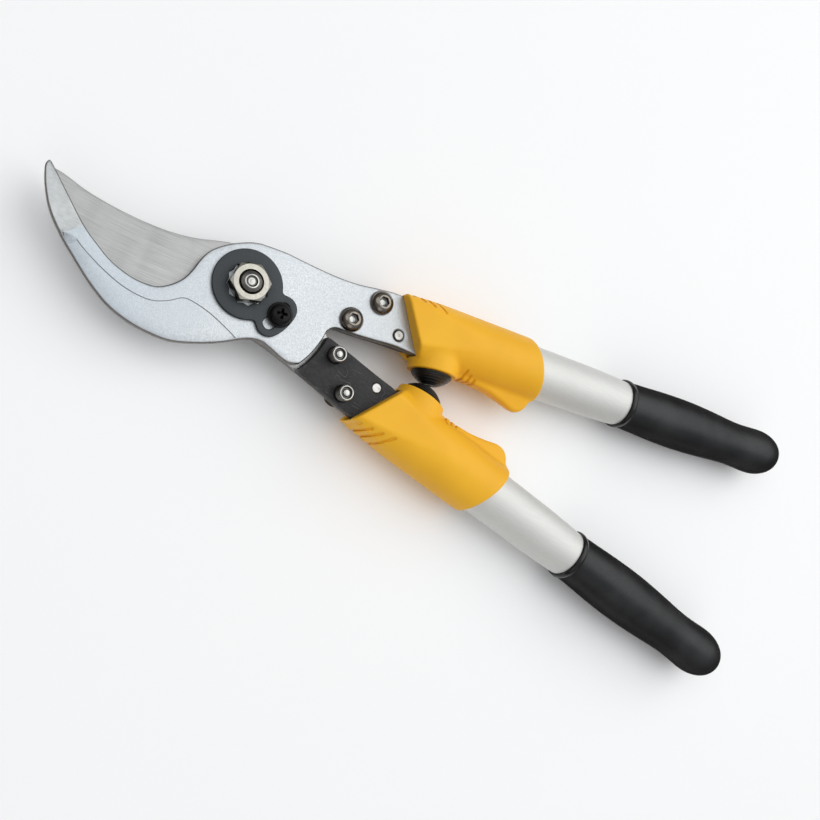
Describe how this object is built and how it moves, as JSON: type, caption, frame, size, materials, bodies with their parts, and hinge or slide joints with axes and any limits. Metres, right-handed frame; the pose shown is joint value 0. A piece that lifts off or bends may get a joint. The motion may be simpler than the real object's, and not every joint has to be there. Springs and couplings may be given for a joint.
{
  "type": "pruning shears",
  "caption": "Two-handed bypass pruning shears with a hook jaw, a cutting blade, a lock plate at the pivot, tube handles, plastic covers and rubber grips.",
  "frame": {"origin": "on the pivot axis, at the flat face of the pivot bolt's head", "axes": "+Z along the pivot bolt towards its nut, +X towards the grips midway between the handles, +Y towards the upper handle, which carries the hook; the shears are closed at rest"},
  "size_m": [0.4551, 0.1628, 0.0348],
  "materials": {
    "hook_steel": "satin blasted",
    "blade_steel": "brushed",
    "pivot_steel": "satin",
    "bush_bronze": "satin",
    "nut_nickel": "bright nickel",
    "lock_plate_black": "matte",
    "lock_screw_black": "satin",
    "button_bolt_nickel": "dark nickel",
    "dowel_steel": "ground",
    "bracket_black": "rough forged",
    "tube_aluminium": "satin anodised",
    "core_nylon": "moulded",
    "rivet_aluminium": "plain",
    "cover_plastic": "satin moulded",
    "bumper_rubber": "matte",
    "grip_rubber": "satin moulded"
  },
  "bodies": {
    "hook_handle": {"hook": "hook_steel", "pivot_bolt": "pivot_steel", "thrust_washer": "pivot_steel", "lock_screw": "lock_screw_black", "lock_screw_washer": "lock_screw_black", "hook_arm_bolts": "button_bolt_nickel", "hook_arm_dowel": "dowel_steel", "upper_bracket": "bracket_black", "upper_tube": "tube_aluminium", "upper_tube_core": "core_nylon", "upper_tube_rivets": "rivet_aluminium", "upper_cover": "cover_plastic", "upper_bumper": "bumper_rubber", "upper_bumper_stud": "pivot_steel", "upper_grip": "grip_rubber"},
    "blade_handle": {"cutting_blade": "blade_steel", "pivot_bush": "bush_bronze", "blade_arm_bolts": "button_bolt_nickel", "blade_arm_dowel": "dowel_steel", "lower_bracket": "bracket_black", "lower_tube": "tube_aluminium", "lower_tube_core": "core_nylon", "lower_tube_rivets": "rivet_aluminium", "lower_cover": "cover_plastic", "lower_bumper": "bumper_rubber", "lower_bumper_stud": "pivot_steel", "lower_grip": "grip_rubber"},
    "adjuster": {"lock_plate": "lock_plate_black", "pivot_nut": "nut_nickel"}
  },
  "joints": [
    {"name": "jaw_pivot", "type": "hinge", "parent": "hook_handle", "child": "blade_handle", "pos_m": [0, 0, 0.009], "axis": [0, 0, -1], "range_deg": [0, 60]},
    {"name": "adjuster_turn", "type": "hinge", "parent": "hook_handle", "child": "adjuster", "pos_m": [0, 0, 0.0186], "axis": [0, 0, 1], "range_deg": [-10, 18]}
  ]
}
